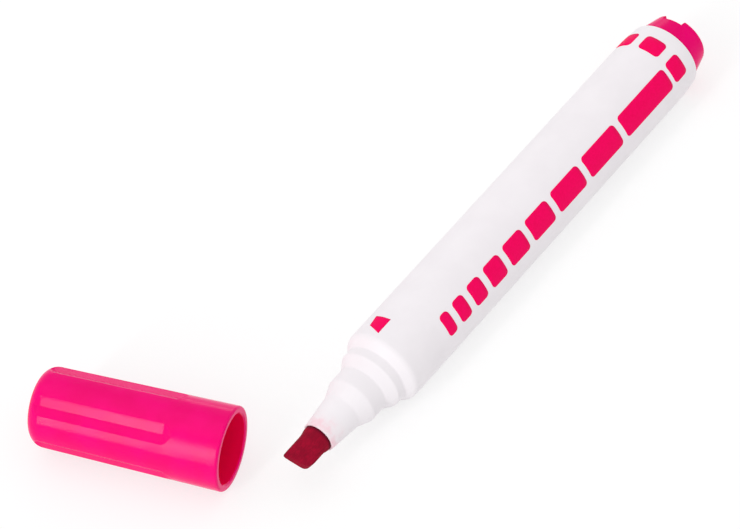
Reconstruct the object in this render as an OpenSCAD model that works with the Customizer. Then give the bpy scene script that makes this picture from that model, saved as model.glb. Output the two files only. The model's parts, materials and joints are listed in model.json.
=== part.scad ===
// Dry-wipe board marker that lies on a table with its cap off, beside the nib.
// Sizes are in millimetres. The pen lies along X with its nib towards -X, and +Z is up.
// The origin is the middle of the footprint of pen and cap, on the table.

/* [Barrel] */
// Outer diameter of the tube
barrel_d = 16.6; // [14:0.1:20]
// Wall of the tube
barrel_wall = 1.3; // [0.9:0.1:2]
// Length of the tube, from the shoulder to the rear rim
tube_len = 96.4; // [70:0.1:130]
// Length of the gently rounded rear end of the tube
rear_round_len = 7; // [3:0.5:15]
// How far the rounded rear end draws in, on the radius
rear_drop = 0.45; // [0.2:0.05:0.6]
// Radius of the edge of the rear rim
rim_edge = 0.3; // [0.1:0.05:0.4]
// Number of ribs inside the tube that hold the ink reservoir
rib_count = 6; // [3:1:10]
// Width of a rib
rib_w = 1; // [0.6:0.1:2]
// Height of a rib above the bore
rib_h = 0.9; // [0.5:0.1:1.4]

/* [Nose] */
// Length of the slim neck that ends at the nib
neck_len = 7.45; // [5:0.05:12]
// How far the neck widens from its tip to its root, on the radius
neck_flare = 0.8; // [0.4:0.1:1.2]
// Thickness of the rim of the neck around the nib
neck_lip = 0.3; // [0.2:0.05:0.6]
// Length of the rounded step from the neck up to the collar
neck_step_len = 3.05; // [2:0.05:5]
// Length of the collar that the cap seals on
collar_len = 3.65; // [3:0.05:8]
// Wall of the collar
collar_wall = 1.1; // [0.8:0.1:1.4]
// Length of the cone from the collar up to the guide ring
foot_len = 2.3; // [1:0.1:5]
// Length of the guide ring that the cap's mouth slides on
guide_len = 1.9; // [0.5:0.1:5]
// Length of the cone from the guide ring up to the tube
shoulder_len = 1.8; // [1:0.1:6]
// Height of the tube above the collar, on the radius
shoulder_h = 2.9; // [2.3:0.1:3.2]
// Radius of the edge of the neck's rim
neck_edge = 0.15; // [0.05:0.05:0.25]
// Radius of the hollow corner at the root of the neck
neck_root_round = 2; // [0.5:0.1:4]
// Radius of the front edge of the collar
collar_round = 1.2; // [0.3:0.1:2]
// Radius of the hollow corner where the collar ends
foot_round = 0.8; // [0.2:0.1:2]
// Radius of the front edge of the guide ring
guide_edge = 0.6; // [0.2:0.1:2]
// Radius of the hollow corner where the guide ring ends
guide_root_round = 0.6; // [0.2:0.1:2]
// Radius of the edge where the shoulder meets the tube
shoulder_round = 2; // [0.5:0.1:5]

/* [Nib] */
// Diameter of the felt nib
nib_d = 6; // [5:0.1:7]
// Length of the nib that shows in front of the neck
nib_out = 7.8; // [5:0.1:10]
// Length of the nib inside the ink reservoir
nib_dip = 9; // [7:0.1:20]
// Length of the pointed tail of the nib
nib_tail_len = 5; // [2:0.1:6]
// Diameter of the end of the nib's tail
nib_tail_d = 2.4; // [1:0.1:4]
// Thickness of the chisel edge
chisel_t = 1.2; // [0.6:0.1:2.5]
// Length of the two chisel faces along the nib
chisel_len = 5.8; // [3:0.1:7]
// How much further one corner of the chisel edge reaches than the other
chisel_slant = 1.5; // [0:0.1:2.5]
// Radius of the corner that reaches further
long_corner = 0.5; // [0.2:0.1:1.5]
// Radius of the other corner
short_corner = 1.8; // [0.2:0.1:2.5]
// Depth of the flats at the sides of the chisel
side_flat = 0.35; // [0.05:0.05:0.5]
// Radius of the hollow where the flats run out into the rod
flat_round = 2.5; // [1:0.1:4]
// Angle by which the chisel is turned about the pen
nib_roll = 31; // [0:1:180]

/* [Ink reservoir] */
// Thickness of the film round the fibre core
film_t = 0.15; // [0.1:0.05:0.5]
// Radius of the edges at the ends of the fibre core
core_edge = 0.4; // [0.1:0.1:1]

/* [End plug] */
// Length of the head that shows behind the barrel
head_len = 5.7; // [3:0.1:10]
// How far the head narrows from the rim to its end, on the radius
head_taper = 1.4; // [0.3:0.1:2.5]
// How far the head stands back from the barrel's rim, on the radius
head_inset = 0.45; // [0.1:0.05:0.7]
// Radius of the edge at the end of the head
head_edge = 0.9; // [0.5:0.05:3]
// Radius of the edge of the head next to the rim
head_rim_edge = 0.2; // [0.05:0.05:0.3]
// Length of the spigot inside the barrel
spigot_len = 9; // [5:0.1:20]
// Wall of the hollow spigot
spigot_wall = 1.2; // [0.8:0.1:2]
// Radius of the lead-in edge of the spigot
spigot_edge = 0.5; // [0.2:0.1:0.8]
// Thickness of the head behind the hollow of the spigot
head_wall = 3.2; // [2:0.1:5]
// Width of the slot across the end of the head
slot_w = 4.7; // [1:0.1:6]
// Depth of the slot
slot_depth = 1.6; // [0.3:0.1:1.8]
// Radius of the edges of the slot
slot_edge = 0.8; // [0.1:0.1:0.8]
// Angle by which the slot is turned from upright
slot_turn = 9; // [-90:1:90]

/* [Cap] */
// Length of the cap
cap_len = 39.7; // [34:0.1:60]
// How far the mouth stands proud of the tube, on the radius
cap_proud = 0.1; // [0:0.05:0.8]
// How far the cap narrows from its mouth to its closed end, on the radius
cap_taper = 0.5; // [0:0.05:0.7]
// Thickness of the closed end
cap_end_wall = 1.6; // [1:0.1:4]
// Radius of the edge of the closed end
cap_end_edge = 2.85; // [1:0.05:4]
// Radius of the outer edge of the mouth
mouth_edge = 0.5; // [0.3:0.05:0.9]
// Bevel of the inner edge of the mouth
mouth_bevel = 0.3; // [0.1:0.05:0.4]
// Depth of the wide part of the bore behind the mouth
mouth_depth = 9.5; // [6:0.1:15]
// How much wider the bore is behind the mouth, on the radius
mouth_step = 0.55; // [0.2:0.05:0.8]
// Number of hollow flutes along the cap
flute_count = 5; // [3:1:8]
// Depth of a flute along its middle
flute_depth = 0.65; // [0.2:0.05:0.75]
// Slope of the two sides of a flute
flute_slope = 12; // [8:1:30]
// Radius of the edges of a flute
flute_edge = 2.5; // [0.5:0.1:4]
// Radius of the run-out at the ends of a flute
flute_end_r = 3.2; // [1.5:0.1:8]
// Length of the plain band between the mouth and the flutes
band_len = 9.8; // [6:0.1:20]
// Number of stop ribs inside the closed end
stop_count = 4; // [3:1:8]
// Width of a stop rib
stop_w = 1; // [0.6:0.1:2]
// Height of a stop rib above the bore
stop_h = 1.4; // [0.8:0.1:3]

/* [Inner cap] */
// Wall of the inner cap
seal_wall = 0.85; // [0.5:0.05:1.1]
// Bevel of the sealing lip
seal_bevel = 0.25; // [0.1:0.05:0.4]
// Thickness of the inner cap's closed end
seal_floor = 1; // [0.6:0.1:2]
// Room between the nib and the inner cap's closed end
nib_room = 2; // [1:0.1:5]
// Distance of the sealing lip from the foot of the shoulder when the cap is on
lip_gap = 0.6; // [0.2:0.1:1]

/* [Place of the cap] */
// Distance of the cap's mouth in front of the nib
cap_ahead = 3.5; // [0:0.1:30]
// Distance of the cap's mouth from the pen's axis
cap_aside = 11.9; // [11:0.1:40]
// Direction from the mouth to the closed end, from +X towards +Y
cap_yaw = 107.8; // [95:0.1:135]
// Angle by which the cap has rolled about its own axis
cap_roll = -36; // [-90:1:90]

/* [Fits] */
// Gap round the nib, on the radius
nib_fit = 0.05; // [0.02:0.01:0.1]
// Gap round the ink reservoir, on the radius
core_fit = 0.1; // [0.05:0.01:0.2]
// Gap between the fibre core and its film, on the radius
film_fit = 0.05; // [0.02:0.01:0.1]
// Gap round the plug's spigot, on the radius
plug_fit = 0.05; // [0.02:0.01:0.1]
// Gap between the collar and the sealing lip, on the radius
seal_fit = 0.05; // [0.02:0.01:0.1]
// Gap round the inner cap, on the radius
inner_fit = 0.05; // [0.02:0.01:0.1]
// Gap between the guide ring and the cap's mouth, on the radius
guide_fit = 0.1; // [0.05:0.01:0.2]

/* [Hidden] */
$fn = 96;
// Straight pieces in a rounded corner
arc_steps = 10;
// Straight pieces in the rounded edge of a flute
flute_steps = 2;
// Angle at which the cut of a flute leaves the round cap beside it
flute_lift = 10;
// Straight pieces in the rounded edge of the slot
slot_steps = 4;
// Angle at which the cut of the slot leaves the end of the head beside it
slot_lift = 4;
// Most of a side that one rounded corner may take
corner_share = 0.48;
// Length by which a cut runs past what it cuts
past = 1;

// Radii of the barrel
barrel_r = barrel_d / 2;
bore_r = barrel_r - barrel_wall;
rim_r = barrel_r - rear_drop;
collar_r = barrel_r - shoulder_h;
throat_r = collar_r - collar_wall;
nib_r = nib_d / 2;
nib_bore_r = nib_r + nib_fit;
neck_tip_r = nib_bore_r + neck_lip;
neck_root_r = neck_tip_r + neck_flare;
rib_r = bore_r - rib_h;

// Stations along the pen, from the neck's rim towards the rear
neck_end = neck_len;
collar_start = neck_end + neck_step_len;
collar_end = collar_start + collar_len;
guide_start = collar_end + foot_len;
guide_end = guide_start + guide_len;
tube_start = guide_end + shoulder_len;
tube_end = tube_start + tube_len;
throat_start = collar_start + collar_wall / 2;
cone_start = collar_end + barrel_wall;
cone_end = tube_start + barrel_wall / 2;

// Ink reservoir: it is pushed forward until it stops on the cone inside the shoulder
wrap_r = rib_r - core_fit;
core_r = wrap_r - film_t - film_fit;
core_start = cone_start + (cone_end - cone_start) * (rib_r - throat_r) / (bore_r - throat_r);
spigot_start = tube_end - spigot_len;
core_end = spigot_start - core_fit;
nib_end = core_start + nib_dip;
tail_start = nib_end - nib_tail_len;
tail_r = nib_tail_d / 2;

// End plug
spigot_r = bore_r - plug_fit;
head_r = rim_r - head_inset;
pen_end = tube_end + head_len;

// Cap and inner cap, from the mouth towards the closed end
cap_mouth_r = barrel_r + cap_proud;
cap_end_r = cap_mouth_r - cap_taper;
cap_lean = atan(cap_taper / cap_len);
seal_r = collar_r + seal_fit;
seal_out_r = seal_r + seal_wall;
body_bore_r = seal_out_r + inner_fit;
mouth_bore_r = body_bore_r + mouth_step;
cap_floor = cap_len - cap_end_wall;
guide_r = mouth_bore_r - guide_fit;
seat = guide_end + shoulder_len * (mouth_bore_r + mouth_bevel - guide_r) / (barrel_r - guide_r);
lip_start = seat - collar_end + lip_gap;
seal_depth = seat + nib_out + nib_room;
seal_end = seal_depth + seal_floor;
flute_run_out = sqrt(flute_depth * (2 * flute_end_r - flute_depth));
flute_start = band_len + flute_run_out;
flute_end = cap_len - cap_end_edge;

// Place of the neck's rim and of the cap's mouth in the footprint
function cap_reach(along) =
    let (across = sqrt(1 - along * along))
    max(cap_mouth_r * across,
        (cap_len - cap_end_edge) * along + (cap_end_r - cap_end_edge) * across + cap_end_edge);
cap_front = -nib_out - cap_ahead;
front_reach = min(cap_front - cap_reach(-cos(cap_yaw)), -nib_out);
side_reach = cap_aside + cap_reach(sin(cap_yaw));
pen_x = -(front_reach + pen_end) / 2;
pen_y = -(side_reach - barrel_r) / 2;
cap_x = pen_x + cap_front;
cap_y = pen_y + cap_aside;

function unit(v) = v / norm(v);
function flat(corner) = [corner[0], corner[1]];

// Points of one corner of an outline, rounded by its third number
function corner_arc(before, here, after, radius, steps) =
    let (
        back = unit(before - here),
        ahead = unit(after - here),
        half = acos(back * ahead) / 2,
        longest = corner_share * min(norm(before - here), norm(after - here)),
        cut = min(radius / tan(half), longest),
        bend = cut * tan(half),
        centre = here + unit(back + ahead) * bend / sin(half),
        first = here + back * cut - centre,
        last = here + ahead * cut - centre,
        start = atan2(first.y, first.x),
        sweep = atan2(last.y, last.x) - start,
        turn = sweep > 180 ? sweep - 360 : sweep < -180 ? sweep + 360 : sweep
    )
    [for (k = [0 : steps])
        centre + bend * [cos(start + turn * k / steps), sin(start + turn * k / steps)]];

// Outline whose corners are [x, y] where sharp and [x, y, radius] where rounded
function rounded(corners, steps = arc_steps) =
    let (count = len(corners))
    [for (i = [0 : count - 1])
        each len(corners[i]) < 3
            ? [corners[i]]
            : corner_arc(flat(corners[(i + count - 1) % count]), flat(corners[i]),
                         flat(corners[(i + 1) % count]), corners[i][2], steps)];

// Solid turned about X from an outline of [radius, place along X]
module turned(corners) {
    rotate([0, 90, 0])
        rotate_extrude()
            polygon(rounded(corners));
}

module place_pen() {
    translate([pen_x, pen_y, barrel_r])
        children();
}

module place_cap() {
    translate([cap_x, cap_y, cap_mouth_r])
        rotate([0, 0, cap_yaw])
            rotate([cap_roll, 0, 0])
                children();
}

module around(count) {
    for (k = [0 : count - 1])
        rotate([360 * k / count, 0, 0])
            children();
}

// White moulding: neck, collar, shoulder and tube in one piece
module barrel() {
    rear_round = [
        for (k = [0 : arc_steps - 1])
            [barrel_r - rear_drop * pow(k / arc_steps, 2), tube_end - rear_round_len * (1 - k / arc_steps)]
    ];
    outside = concat(
        [
            [neck_tip_r, 0, neck_edge],
            [neck_root_r, neck_end, neck_root_round],
            [collar_r, collar_start, collar_round],
            [collar_r, collar_end, foot_round],
            [guide_r, guide_start, guide_edge],
            [guide_r, guide_end, guide_root_round],
            [barrel_r, tube_start, shoulder_round]
        ],
        rear_round,
        [[rim_r, tube_end, rim_edge]]
    );
    inside = [
        [bore_r, tube_end],
        [bore_r, cone_end],
        [throat_r, cone_start],
        [throat_r, throat_start],
        [nib_bore_r, throat_start],
        [nib_bore_r, 0]
    ];
    color("whitesmoke")
        place_pen() {
            turned(concat(outside, inside));
            around(rib_count)
                reservoir_rib();
        }
}

module reservoir_rib() {
    rib_start = (core_start + cone_end) / 2;
    rib_end = spigot_start - core_fit - spigot_edge;
    translate([rib_start, -rib_w / 2, rib_r])
        cube([rib_end - rib_start, rib_w, rib_h + barrel_wall / 2]);
}

// Felt rod with a pointed tail and a chisel tip
module nib() {
    color("crimson")
        place_pen()
            difference() {
                turned([
                    [0, -nib_out],
                    [nib_r, -nib_out],
                    [nib_r, tail_start],
                    [tail_r, nib_end],
                    [0, nib_end]
                ]);
                rotate([nib_roll, 0, 0]) {
                    chisel_outline_cut();
                    chisel_face_cut();
                    mirror([0, 0, 1])
                        chisel_face_cut();
                }
            }
}

// Trims the end of the nib to the slanted edge with its two rounded corners
module chisel_outline_cut() {
    half_w = nib_r - side_flat;
    wide = half_w + flat_round / corner_share;
    far = -nib_out - past;
    root = -nib_out + chisel_len + flat_round;
    outline = rounded([
        [root, wide],
        [root, half_w, flat_round],
        [-nib_out, half_w, long_corner],
        [chisel_slant - nib_out, -half_w, short_corner],
        [root, -half_w, flat_round],
        [root, -wide],
        [far, -wide],
        [far, wide]
    ]);
    linear_extrude(2 * wide, center = true)
        polygon(outline);
}

// Slopes one broad side of the nib down to the chisel edge
module chisel_face_cut() {
    root = -nib_out + chisel_len;
    slope = (nib_r - chisel_t / 2) / chisel_len;
    far = -nib_out - past;
    rotate([90, 0, 0])
        linear_extrude(2 * (nib_r + past), center = true)
            polygon([
                [root, nib_r],
                [far, chisel_t / 2 - slope * past],
                [far, nib_r + past],
                [root, nib_r + past]
            ]);
}

// Fibre core that soaks up the ink, with a socket for the nib's tail
module ink_reservoir() {
    color("deeppink")
        place_pen()
            turned([
                [nib_bore_r, core_start],
                [core_r, core_start, core_edge],
                [core_r, core_end, core_edge],
                [0, core_end],
                [0, nib_end + nib_fit],
                [tail_r + nib_fit, nib_end + nib_fit],
                [nib_bore_r, tail_start]
            ]);
}

// Clear film rolled round the fibre core
module reservoir_wrap() {
    color("mistyrose")
        place_pen()
            turned([
                [wrap_r - film_t, core_start],
                [wrap_r, core_start],
                [wrap_r, core_end],
                [wrap_r - film_t, core_end]
            ]);
}

// Coloured plug that closes the rear, with a slot across its end
module end_plug() {
    hollow_r = spigot_r - spigot_wall;
    hollow_end = pen_end - head_wall;
    color("deeppink")
        place_pen()
            difference() {
                turned([
                    [hollow_r, spigot_start],
                    [spigot_r, spigot_start, spigot_edge],
                    [spigot_r, tube_end],
                    [head_r, tube_end, head_rim_edge],
                    [head_r - head_taper, pen_end, head_edge],
                    [0, pen_end],
                    [0, hollow_end],
                    [hollow_r, hollow_end]
                ]);
                rotate([-slot_turn, 0, 0])
                    slot();
            }
}

// Cut of the slot, whose edges round over into the end of the head
module slot() {
    half_w = slot_w / 2;
    wing = [past * tan(slot_lift), half_w + past];
    translate([pen_end, 0, 0])
        linear_extrude(2 * barrel_r, center = true)
            polygon(rounded([
                [-slot_depth, -half_w],
                [0, -half_w, slot_edge],
                [wing.x, -wing.y],
                [past, -wing.y],
                [past, wing.y],
                [wing.x, wing.y],
                [0, half_w, slot_edge],
                [-slot_depth, half_w]
            ], slot_steps));
}

// Coloured cap with hollow flutes and, inside, the stop ribs of the inner cap
module cap_shell() {
    color("deeppink")
        place_cap()
            difference() {
                union() {
                    turned([
                        [mouth_bore_r + mouth_bevel, 0],
                        [cap_mouth_r, 0, mouth_edge],
                        [cap_end_r, cap_len, cap_end_edge],
                        [0, cap_len],
                        [0, cap_floor],
                        [body_bore_r, cap_floor],
                        [body_bore_r, mouth_depth],
                        [mouth_bore_r, mouth_depth],
                        [mouth_bore_r, mouth_bevel]
                    ]);
                    around(stop_count)
                        stop_rib();
                }
                around(flute_count)
                    flute();
            }
}

module stop_rib() {
    root = (cap_end_r - flute_depth - body_bore_r) / 2;
    translate([seal_end, -stop_w / 2, body_bore_r - stop_h])
        cube([cap_floor + cap_end_wall / 2 - seal_end, stop_w, stop_h + root]);
}

// Outline of the cut of a flute: two flat sides that round over into the cap, from the flute's middle line
function flute_outline(surface_r) =
    let (
        bottom_r = surface_r - flute_depth,
        turn = acos(bottom_r * cos(flute_slope) / surface_r) - flute_slope,
        edge = [surface_r * sin(turn), surface_r * cos(turn) - bottom_r],
        wing = edge + past * [1, -tan(turn - flute_lift)]
    )
    rounded([
        [0, 0],
        [edge.x, edge.y, flute_edge],
        wing,
        [wing.x, flute_end_r],
        [-wing.x, flute_end_r],
        [-wing.x, wing.y],
        [-edge.x, edge.y, flute_edge]
    ], flute_steps);

// Hollow with two flat sides, as a shaped wheel cuts it along the taper of the cap
module flute() {
    surface_r = cap_mouth_r - cap_taper * flute_start / cap_len;
    reach = flute_end - flute_start;
    outline = flute_outline(surface_r);
    translate([flute_start, 0, surface_r - flute_depth])
        rotate([0, cap_lean, 0]) {
            flute_wheel(outline);
            rotate([90, 0, 90])
                linear_extrude(reach)
                    polygon(outline);
            translate([reach, 0, 0])
                flute_wheel(outline);
        }
}

module flute_wheel(outline) {
    translate([0, 0, flute_end_r])
        rotate([90, 0, 0])
            rotate_extrude()
                polygon([for (corner = outline) [flute_end_r - corner.y, corner.x]]);
}

// Cup inside the cap that slides over the collar and keeps the nib moist
module inner_cap() {
    color("hotpink")
        place_cap()
            turned([
                [seal_r + seal_bevel, lip_start],
                [seal_out_r, lip_start],
                [seal_out_r, seal_end],
                [0, seal_end],
                [0, seal_depth],
                [seal_r, seal_depth],
                [seal_r, lip_start + seal_bevel]
            ]);
}

barrel();
nib();
ink_reservoir();
reservoir_wrap();
end_plug();
cap_shell();
inner_cap();
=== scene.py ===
import json
import math

import bmesh
import bpy
from mathutils import Matrix, Vector
from mathutils.bvhtree import BVHTree


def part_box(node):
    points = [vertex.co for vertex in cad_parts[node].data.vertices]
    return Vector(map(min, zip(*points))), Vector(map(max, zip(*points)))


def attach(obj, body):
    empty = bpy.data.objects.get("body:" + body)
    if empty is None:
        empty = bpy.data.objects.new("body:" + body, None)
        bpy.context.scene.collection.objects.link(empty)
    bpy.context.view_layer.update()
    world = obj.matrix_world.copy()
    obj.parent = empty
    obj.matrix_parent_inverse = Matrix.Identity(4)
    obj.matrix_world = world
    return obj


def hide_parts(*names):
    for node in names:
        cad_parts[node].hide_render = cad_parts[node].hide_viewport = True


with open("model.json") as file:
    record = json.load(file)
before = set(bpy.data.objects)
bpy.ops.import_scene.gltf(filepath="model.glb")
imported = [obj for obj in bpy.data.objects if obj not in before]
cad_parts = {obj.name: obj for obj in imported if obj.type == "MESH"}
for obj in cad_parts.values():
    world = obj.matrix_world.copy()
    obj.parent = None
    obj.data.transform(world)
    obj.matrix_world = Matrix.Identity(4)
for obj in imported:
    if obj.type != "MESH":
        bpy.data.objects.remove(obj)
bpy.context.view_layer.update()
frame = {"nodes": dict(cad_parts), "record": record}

# Looks of a dry-wipe board marker that lies on a pale table with its cap off.
# Lengths are written in millimetres and turned into metres by MM. Angles are in degrees.
MM = 0.001

# Camera of the photograph
IMAGE_W = 740
SENSOR_W = 36.0
FOCAL_PIXELS = 3994.9
CAMERA_AZIMUTH = -47.915
CAMERA_ELEVATION = 50.24
CAMERA_ROLL = -6.802
CAMERA_DISTANCE = 782.8
CAMERA_AIM = (-6.564, -4.266, 8.3)

# Printed blocks: a row along the barrel and a ring round its rear end.
# Places along the pen count from the neck's rim, and turns count from the top towards +Y.
# The row is printed a little askew, by a twist in degrees for each millimetre along the pen.
BLOCK_LENGTHS = (2.5, 3.2, 3.8, 4.9, 6.0, 7.1, 9.1, 11.1, 16.0)
BLOCK_GAP = 1.58
BLOCK_CORNER = 0.9
ROW_START = 32.0
ROW_TURN = -56.4
ROW_TWIST = 0.04
ROW_SPAN = 34.7
RING_START = 109.33
RING_LENGTH = 4.0
RING_COUNT = 5
RING_TURN = -53.0
RING_PITCH = 47.5
RING_SPAN = 33.7
INK_HEIGHT = 0.03
INK_ROOT = 0.03

# Small printed mark in the shape of a chisel nib, as (place along the pen, turn)
MARK_CORNERS = ((21.65, 8.3), (25.65, 8.3), (25.65, 35.0), (22.95, 31.0))

# Length of the ink stain on the neck behind its rim
STAIN_LENGTH = 4.5

# Grain of the felt nib, and the length of the painted shade on the felt in front of the neck's rim
FELT_VOXEL = 0.13
FELT_WEAR_PASSES = 8
FELT_FIBRE = 0.3
FELT_ROUGHNESS = 0.05
RIM_SHADE_LENGTH = 0.9

# Distance from the cap's axis within which its plastic is the inside, painted a deeper red as shade, and
# where the rim starts
CAP_INSIDE = 6.92
CAP_RIM = 7.0

# Light, as radiance, where 1 makes a white surface white
SKY_LIGHT = 0.785
WINDOW_LIGHT = 13.5
TOP_LIGHT = 0.36
BACK_LIGHT = 1.6

# Directions that the light panels shine from, and how far from their middle they fade to black
WINDOW_FROM = (-0.898, 0.05, 0.455)
TOP_FROM = (0.1, 0.1, 1)
BACK_FROM = (0.82, 0.57, 0.12)
NARROW_FADE = 50
WIDE_FADE = 89

mounts = {mount["name"]: mount for mount in frame["record"]["mounts"]}
nodes = frame["nodes"]
pen_axis = Vector(mounts["barrel_grip"]["pos_m"])
barrel_radius = mounts["barrel_grip"]["dims"]["r_mm"] * MM
neck_rim_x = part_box("barrel")[0].x


# Node helpers for the materials

def new_material(name):
    material = bpy.data.materials.new(name)
    material.use_nodes = True
    tree = material.node_tree
    return material, tree, tree.nodes["Principled BSDF"]


def add_node(tree, kind, settings=None, values=None):
    made = tree.nodes.new(kind)
    for key, value in (settings or {}).items():
        setattr(made, key, value)
    for key, value in (values or {}).items():
        made.inputs[key].default_value = value
    return made


def set_values(shader, **values):
    for key, value in values.items():
        shader.inputs[key.replace("_", " ")].default_value = value


def millimetres(tree, stretch=(1, 1, 1)):
    """Object coordinates in millimetres, drawn out along an axis by a stretch below 1."""
    coordinates = add_node(tree, "ShaderNodeTexCoord")
    mapping = add_node(tree, "ShaderNodeMapping", None, {"Scale": [s / MM for s in stretch]})
    tree.links.new(coordinates.outputs["Object"], mapping.inputs["Vector"])
    return mapping.outputs["Vector"]


def noise(tree, vector, scale, detail=2.0, roughness=0.5):
    made = add_node(tree, "ShaderNodeTexNoise", None,
                    {"Scale": scale, "Detail": detail, "Roughness": roughness})
    tree.links.new(vector, made.inputs["Vector"])
    return made.outputs["Fac"]


def between(tree, factor, low, high, start=0.0, end=1.0):
    """Number that goes from low to high as the factor goes from start to end."""
    made = add_node(tree, "ShaderNodeMapRange", {"interpolation_type": "SMOOTHSTEP"},
                    {"From Min": start, "From Max": end, "To Min": low, "To Max": high})
    tree.links.new(factor, made.inputs["Value"])
    return made.outputs["Result"]


def blend_colours(tree, factor, first, second):
    """Colour between two others, each a colour or the output of a node."""
    made = add_node(tree, "ShaderNodeMix", {"data_type": "RGBA"})
    tree.links.new(factor, made.inputs[0])
    for socket, colour in ((made.inputs[6], first), (made.inputs[7], second)):
        if isinstance(colour, tuple):
            socket.default_value = (*colour, 1)
        else:
            tree.links.new(colour, socket)
    return made.outputs[2]


def combine(tree, operation, first, second):
    """Number made from two others by an operation of the math node."""
    made = add_node(tree, "ShaderNodeMath", {"operation": operation})
    tree.links.new(first, made.inputs[0])
    tree.links.new(second, made.inputs[1])
    return made.outputs[0]


def bump(tree, shader, height, depth):
    """Surface grain of a depth in millimetres."""
    made = add_node(tree, "ShaderNodeBump", None, {"Strength": 1.0, "Distance": depth * MM})
    tree.links.new(height, made.inputs["Height"])
    tree.links.new(made.outputs["Normal"], shader.inputs["Normal"])


# Materials

def moulded_plastic(name, dark, light, roughness, specular):
    """Satin moulded plastic: cloudy colour, uneven gloss and the fine grain of the mould."""
    material, tree, shader = new_material(name)
    place = millimetres(tree)
    clouds = between(tree, noise(tree, place, scale=0.16, detail=3.0), 0, 1, start=0.3, end=0.7)
    colour = blend_colours(tree, clouds, dark, light)
    tree.links.new(colour, shader.inputs["Base Color"])
    smears = noise(tree, place, scale=0.45, detail=4.0)
    tree.links.new(between(tree, smears, *roughness, start=0.3, end=0.7), shader.inputs["Roughness"])
    bump(tree, shader, noise(tree, place, scale=5.0, detail=3.0), depth=0.004)
    set_values(shader, IOR=1.49, Specular_IOR_Level=specular)
    return material, tree, shader, colour


def barrel_plastic():
    """White plastic, stained with ink round the neck's rim."""
    material, tree, shader, colour = moulded_plastic(
        "white_plastic", dark=(0.88, 0.84, 0.87), light=(0.905, 0.865, 0.895),
        roughness=(0.4, 0.52), specular=0.16)
    place = millimetres(tree)
    apart = add_node(tree, "ShaderNodeSeparateXYZ")
    tree.links.new(place, apart.inputs["Vector"])
    rim = neck_rim_x / MM
    near_rim = between(tree, apart.outputs["X"], 1, 0, start=rim, end=rim + STAIN_LENGTH)
    blots = between(tree, noise(tree, place, scale=0.55, detail=3.0), 0.1, 0.55, start=0.35, end=0.7)
    stain_share = combine(tree, "MULTIPLY", near_rim, blots)
    stained = blend_colours(tree, stain_share, colour, (0.95, 0.42, 0.52))
    tree.links.new(stained, shader.inputs["Base Color"])
    return material


def plug_plastic():
    return moulded_plastic(
        "pink_plastic", dark=(0.84, 0.0008, 0.142), light=(0.9, 0.0012, 0.168),
        roughness=(0.1, 0.15), specular=0.03)[0]


def cap_plastic():
    """Pink plastic with a painted shade of deeper red on the inside of the cap."""
    material, tree, shader, colour = moulded_plastic(
        "cap_plastic", dark=(0.87, 0.0008, 0.16), light=(0.93, 0.0012, 0.19),
        roughness=(0.1, 0.15), specular=0.079)
    socket = mounts["cap_socket"]
    coordinates = add_node(tree, "ShaderNodeTexCoord")
    from_axis = add_node(tree, "ShaderNodeVectorMath", {"operation": "SUBTRACT"}, {1: socket["pos_m"]})
    tree.links.new(coordinates.outputs["Object"], from_axis.inputs[0])
    across = add_node(tree, "ShaderNodeVectorMath", {"operation": "CROSS_PRODUCT"}, {1: socket["axis"]})
    tree.links.new(from_axis.outputs["Vector"], across.inputs[0])
    distance = add_node(tree, "ShaderNodeVectorMath", {"operation": "LENGTH"})
    tree.links.new(across.outputs["Vector"], distance.inputs[0])
    # Painted shade: the inside of the cap turns a deeper, less blue red.
    inside = between(tree, distance.outputs["Value"], 1, 0, start=CAP_INSIDE * MM, end=CAP_RIM * MM)
    painted_inside_shade = blend_colours(tree, inside, colour, (0.99, 0.0015, 0.083))
    tree.links.new(painted_inside_shade, shader.inputs["Base Color"])
    return material


def seal_plastic():
    return moulded_plastic(
        "seal_plastic", dark=(0.78, 0.002, 0.055), light=(0.84, 0.003, 0.07),
        roughness=(0.45, 0.55), specular=0.15)[0]


def printed_ink():
    """Screen-printed ink: a nearly even colour with fine specks and a dry surface."""
    material, tree, shader = new_material("pink_ink")
    place = millimetres(tree)
    grain = noise(tree, place, scale=2.2, detail=4.0, roughness=0.65)
    specks = between(tree, grain, 0, 1, start=0.35, end=0.65)
    colour = blend_colours(tree, specks, (0.91, 0.0008, 0.102), (0.96, 0.0012, 0.122))
    tree.links.new(colour, shader.inputs["Base Color"])
    tree.links.new(between(tree, specks, 0.42, 0.56), shader.inputs["Roughness"])
    bump(tree, shader, noise(tree, place, scale=7.0, detail=2.0), depth=0.003)
    set_values(shader, IOR=1.45, Specular_IOR_Level=0.045)
    return material


def fibres(name, dark, light, depth, sheen):
    """Fibres that run along the pen, soaked with ink."""
    material, tree, shader = new_material(name)
    along = millimetres(tree, stretch=(0.12, 1, 1))
    strands = noise(tree, along, scale=4.0, detail=4.0, roughness=0.6)
    patches = noise(tree, millimetres(tree), scale=0.7, detail=3.0)
    strand_share = between(tree, strands, 0.35, 1, start=0.3, end=0.7)
    patch_share = between(tree, patches, 0.5, 1, start=0.3, end=0.7)
    share = combine(tree, "MULTIPLY", strand_share, patch_share)
    colour = blend_colours(tree, share, dark, light)
    tree.links.new(colour, shader.inputs["Base Color"])
    tree.links.new(between(tree, strands, 0.7, 0.95), shader.inputs["Roughness"])
    bump(tree, shader, strands, depth)
    set_values(shader, Specular_IOR_Level=0.1, Sheen_Weight=sheen, Sheen_Roughness=0.5)
    return material, tree, shader, colour


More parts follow.
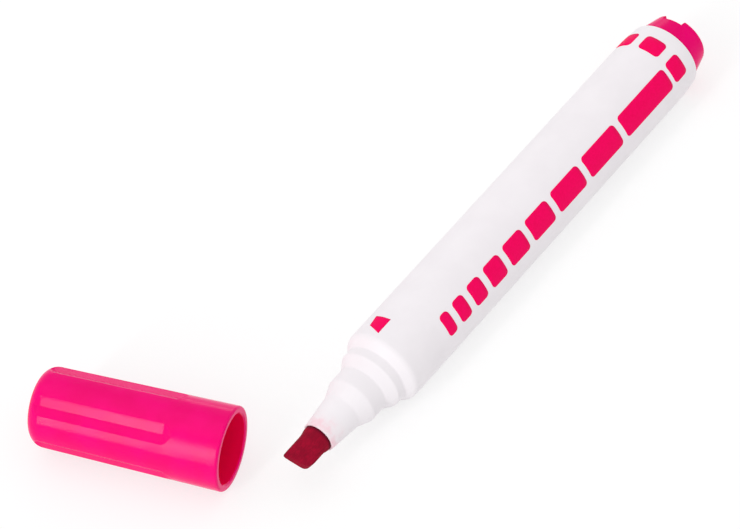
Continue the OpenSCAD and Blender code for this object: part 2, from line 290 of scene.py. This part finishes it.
def nib_felt():
    """Inked felt, with painted shade where it comes out of the neck."""
    material, tree, shader, colour = fibres(
        "nib_felt", dark=(0.19, 0.0015, 0.016), light=(0.39, 0.003, 0.028), depth=0.03, sheen=0.0)
    apart = add_node(tree, "ShaderNodeSeparateXYZ")
    tree.links.new(millimetres(tree), apart.inputs["Vector"])
    rim = neck_rim_x / MM
    # Painted shade: the felt darkens towards the neck's rim, where it meets the neck.
    painted_rim_shade = between(tree, apart.outputs["X"], 0, 0.85, start=rim - RIM_SHADE_LENGTH, end=rim)
    tree.links.new(blend_colours(tree, painted_rim_shade, colour, (0.07, 0.001, 0.012)), shader.inputs["Base Color"])
    return material


def ink_fibre():
    return fibres(
        "ink_fibre", dark=(0.5, 0.004, 0.09), light=(0.75, 0.012, 0.16), depth=0.1, sheen=0.1)[0]


def wrap_film():
    """Thin clear film that takes the tint of the ink behind it, with fine crinkles."""
    material, tree, shader = new_material("wrap_film")
    place = millimetres(tree, stretch=(0.3, 1, 1))
    crinkles = noise(tree, place, scale=0.8, detail=3.0)
    colour = blend_colours(tree, crinkles, (0.8, 0.45, 0.57), (0.9, 0.65, 0.73))
    tree.links.new(colour, shader.inputs["Base Color"])
    tree.links.new(between(tree, crinkles, 0.08, 0.22), shader.inputs["Roughness"])
    bump(tree, shader, crinkles, depth=0.05)
    set_values(shader, IOR=1.5, Transmission_Weight=0.6)
    return material


def dress(piece, material):
    piece.data.materials.clear()
    piece.data.materials.append(material)


def dress_solids():
    dress(nodes["barrel"], barrel_plastic())
    dress(nodes["end_plug"], plug_plastic())
    dress(nodes["cap_shell"], cap_plastic())
    dress(nodes["inner_cap"], seal_plastic())
    dress(nodes["ink_reservoir"], ink_fibre())
    dress(nodes["reservoir_wrap"], wrap_film())


# Felt nib

def felt_nib():
    """Nib with evenly meshed felt, worn edges and a fibrous skin."""
    piece = bpy.data.objects.new("felt_nib", nodes["nib"].data.copy())
    bpy.context.scene.collection.objects.link(piece)
    even = piece.modifiers.new("even", "REMESH")
    even.mode = "VOXEL"
    even.voxel_size = FELT_VOXEL * MM
    worn = piece.modifiers.new("worn", "SMOOTH")
    worn.iterations = FELT_WEAR_PASSES
    worn.factor = 0.5
    grain = bpy.data.textures.new("felt_grain", "CLOUDS")
    grain.noise_scale = FELT_FIBRE * MM
    grain.noise_depth = 2
    rough = piece.modifiers.new("rough", "DISPLACE")
    rough.texture = grain
    rough.texture_coords = "LOCAL"
    rough.strength = FELT_ROUGHNESS * MM
    evaluated = piece.evaluated_get(bpy.context.evaluated_depsgraph_get())
    piece.data = bpy.data.meshes.new_from_object(evaluated)
    piece.modifiers.clear()
    piece.data.polygons.foreach_set("use_smooth", [True] * len(piece.data.polygons))
    dress(piece, nib_felt())
    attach(piece, "pen")
    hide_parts("nib")


# Print on the barrel

def skin_finder():
    """Function that gives a point of the barrel's skin, lifted by a height, from its place and turn."""
    mesh = nodes["barrel"].data
    tree = BVHTree.FromPolygons([v.co for v in mesh.vertices], [p.vertices for p in mesh.polygons])

    def skin_point(along, turn, height):
        angle = math.radians(turn)
        outward = Vector((0, math.sin(angle), math.cos(angle)))
        axis_point = Vector((neck_rim_x + along * MM, pen_axis.y, pen_axis.z))
        found = tree.ray_cast(axis_point + outward * 2 * barrel_radius, -outward)[0]
        return found + outward * height * MM

    return skin_point


def add_film(mesh, skin_point, rows):
    """Closed film of ink over rows of (place, turn), each row with the same number of points."""
    top = [[mesh.verts.new(skin_point(*spot, INK_HEIGHT)) for spot in row] for row in rows]
    root = [[mesh.verts.new(skin_point(*spot, -INK_ROOT)) for spot in row] for row in rows]
    last_row = len(rows) - 1
    last_spot = len(rows[0]) - 1
    for i in range(last_row):
        for j in range(last_spot):
            mesh.faces.new((top[i][j], top[i][j + 1], top[i + 1][j + 1], top[i + 1][j])).smooth = True
            mesh.faces.new((root[i][j], root[i + 1][j], root[i + 1][j + 1], root[i][j + 1]))
    edge = [(0, j) for j in range(last_spot)]
    edge += [(i, last_spot) for i in range(last_row)]
    edge += [(last_row, j) for j in range(last_spot, 0, -1)]
    edge += [(i, 0) for i in range(last_row, 0, -1)]
    for here, after in zip(edge, edge[1:] + edge[:1]):
        a, b = top[here[0]][here[1]], top[after[0]][after[1]]
        c, d = root[after[0]][after[1]], root[here[0]][here[1]]
        mesh.faces.new((b, a, d, c))


def block_rows(start, length, turn, span):
    """Rows of a rounded block: its ends draw in at the first and last rows, which round the corners."""
    corner_steps = 8
    middle_steps = 12
    least_steps = 4
    spot_steps = max(least_steps, round(length))
    half_turn = span / 2
    corner_turn = math.degrees(BLOCK_CORNER * MM / barrel_radius)
    straight = half_turn - corner_turn
    offsets = [(straight * (2 * k / middle_steps - 1), 0) for k in range(middle_steps + 1)]
    arc = [math.radians(90 * k / corner_steps) for k in range(1, corner_steps + 1)]
    rounded = [(straight + corner_turn * math.sin(a), BLOCK_CORNER * (1 - math.cos(a))) for a in arc]
    offsets = [(-t, inset) for t, inset in reversed(rounded)] + offsets + rounded
    rows = []
    for offset, inset in offsets:
        first = start + inset
        step = (length - 2 * inset) / spot_steps
        rows.append([(first + step * k, turn + offset) for k in range(spot_steps + 1)])
    return rows


def mark_rows():
    """Rows of the small mark, which runs straight between its four corners."""
    steps = 10
    (a0, t0), (a1, t1), (a2, t2), (a3, t3) = MARK_CORNERS
    rows = []
    for i in range(steps + 1):
        k = i / steps
        near = (a0 + (a3 - a0) * k, t0 + (t3 - t0) * k)
        far = (a1 + (a2 - a1) * k, t1 + (t2 - t1) * k)
        rows.append([(near[0] + (far[0] - near[0]) * j / steps, near[1] + (far[1] - near[1]) * j / steps)
                     for j in range(steps + 1)])
    return rows


def print_piece(name, ink, skin_point, films):
    made = bmesh.new()
    for rows in films:
        add_film(made, skin_point, rows)
    bmesh.ops.recalc_face_normals(made, faces=made.faces)
    mesh = bpy.data.meshes.new(name)
    made.to_mesh(mesh)
    made.free()
    piece = bpy.data.objects.new(name, mesh)
    bpy.context.scene.collection.objects.link(piece)
    dress(piece, ink)
    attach(piece, "pen")


def print_barrel():
    ink = printed_ink()
    skin_point = skin_finder()
    row = []
    start = ROW_START
    for length in BLOCK_LENGTHS:
        turn = ROW_TURN + ROW_TWIST * (start + length / 2 - ROW_START)
        row.append(block_rows(start, length, turn, ROW_SPAN))
        start += length + BLOCK_GAP
    ring = [block_rows(RING_START, RING_LENGTH, RING_TURN + RING_PITCH * k, RING_SPAN)
            for k in range(RING_COUNT)]
    print_piece("print_row", ink, skin_point, row)
    print_piece("print_ring", ink, skin_point, ring)
    print_piece("print_mark", ink, skin_point, [mark_rows()])


# Studio

def make_camera():
    azimuth = math.radians(CAMERA_AZIMUTH)
    elevation = math.radians(CAMERA_ELEVATION)
    roll = math.radians(CAMERA_ROLL)
    back = Vector((math.sin(azimuth) * math.cos(elevation),
                   -math.cos(azimuth) * math.cos(elevation),
                   math.sin(elevation)))
    level = Vector((math.cos(azimuth), math.sin(azimuth), 0))
    upright = back.cross(level)
    right = level * math.cos(roll) + upright * math.sin(roll)
    above = upright * math.cos(roll) - level * math.sin(roll)
    data = bpy.data.cameras.new("camera")
    data.sensor_width = SENSOR_W
    data.lens = FOCAL_PIXELS / IMAGE_W * SENSOR_W
    data.clip_start = 0.01
    camera = bpy.data.objects.new("camera", data)
    place = (Vector(CAMERA_AIM) + back * CAMERA_DISTANCE) * MM
    camera.matrix_world = Matrix.Translation(place) @ Matrix((right, above, back)).transposed().to_4x4()
    bpy.context.scene.collection.objects.link(camera)
    bpy.context.scene.camera = camera


def soft_light(name, direction, radiance, fade, distance, width, height):
    """Light panel, in metres, that faces the object and fades to black at an angle from its middle."""
    data = bpy.data.lights.new(name, "AREA")
    data.shape = "RECTANGLE"
    data.size = width
    data.size_y = height
    data.spread = math.radians(2 * fade)
    fade_share = 1 - math.radians(fade) / math.tan(math.radians(fade))
    data.energy = radiance * math.pi * width * height * fade_share
    lamp = bpy.data.objects.new(name, data)
    away = Vector(direction).normalized()
    lamp.location = away * distance
    lamp.rotation_euler = away.to_track_quat("Z", "Y").to_euler()
    lamp.visible_camera = False
    bpy.context.scene.collection.objects.link(lamp)


def make_sky():
    world = bpy.data.worlds.new("sky")
    bpy.context.scene.world = world
    world.use_nodes = True
    background = world.node_tree.nodes["Background"]
    background.inputs["Color"].default_value = (1, 1, 1, 1)
    background.inputs["Strength"].default_value = SKY_LIGHT


def make_floor():
    """Pale table. Its own light shows only to the eye and in reflections, so its shadows stay."""
    half = 3.0
    drop = 0.02 * MM
    glow_share = 0.65
    mesh = bpy.data.meshes.new("floor")
    corners = [(-half, -half, -drop), (half, -half, -drop), (half, half, -drop), (-half, half, -drop)]
    mesh.from_pydata(corners, [], [(0, 1, 2, 3)])
    floor = bpy.data.objects.new("floor", mesh)
    bpy.context.scene.collection.objects.link(floor)
    material = bpy.data.materials.new("floor")
    material.use_nodes = True
    tree = material.node_tree
    tree.nodes.clear()
    matte = add_node(tree, "ShaderNodeBsdfDiffuse", None, {"Color": (0.93, 0.93, 0.93, 1)})
    glow = add_node(tree, "ShaderNodeEmission", None, {"Color": (1, 1, 1, 1), "Strength": 1.06})
    path = add_node(tree, "ShaderNodeLightPath")
    seen = combine(tree, "MAXIMUM", path.outputs["Is Camera Ray"], path.outputs["Is Glossy Ray"])
    seen = combine(tree, "MAXIMUM", seen, path.outputs["Is Transmission Ray"])
    share = add_node(tree, "ShaderNodeMath", {"operation": "MULTIPLY"}, {1: glow_share})
    tree.links.new(seen, share.inputs[0])
    mix = add_node(tree, "ShaderNodeMixShader")
    tree.links.new(share.outputs[0], mix.inputs[0])
    tree.links.new(matte.outputs[0], mix.inputs[1])
    tree.links.new(glow.outputs[0], mix.inputs[2])
    output = add_node(tree, "ShaderNodeOutputMaterial")
    tree.links.new(mix.outputs[0], output.inputs["Surface"])
    dress(floor, material)


def make_studio():
    bpy.context.scene.view_settings.view_transform = "Standard"
    make_camera()
    make_sky()
    make_floor()
    soft_light("window", WINDOW_FROM, WINDOW_LIGHT, NARROW_FADE, distance=1.8, width=0.18, height=1.8)
    soft_light("top", TOP_FROM, TOP_LIGHT, WIDE_FADE, distance=1.2, width=1.2, height=1.2)
    soft_light("back", BACK_FROM, BACK_LIGHT, WIDE_FADE, distance=1.8, width=1.0, height=0.4)


make_studio()
dress_solids()
felt_nib()
print_barrel()
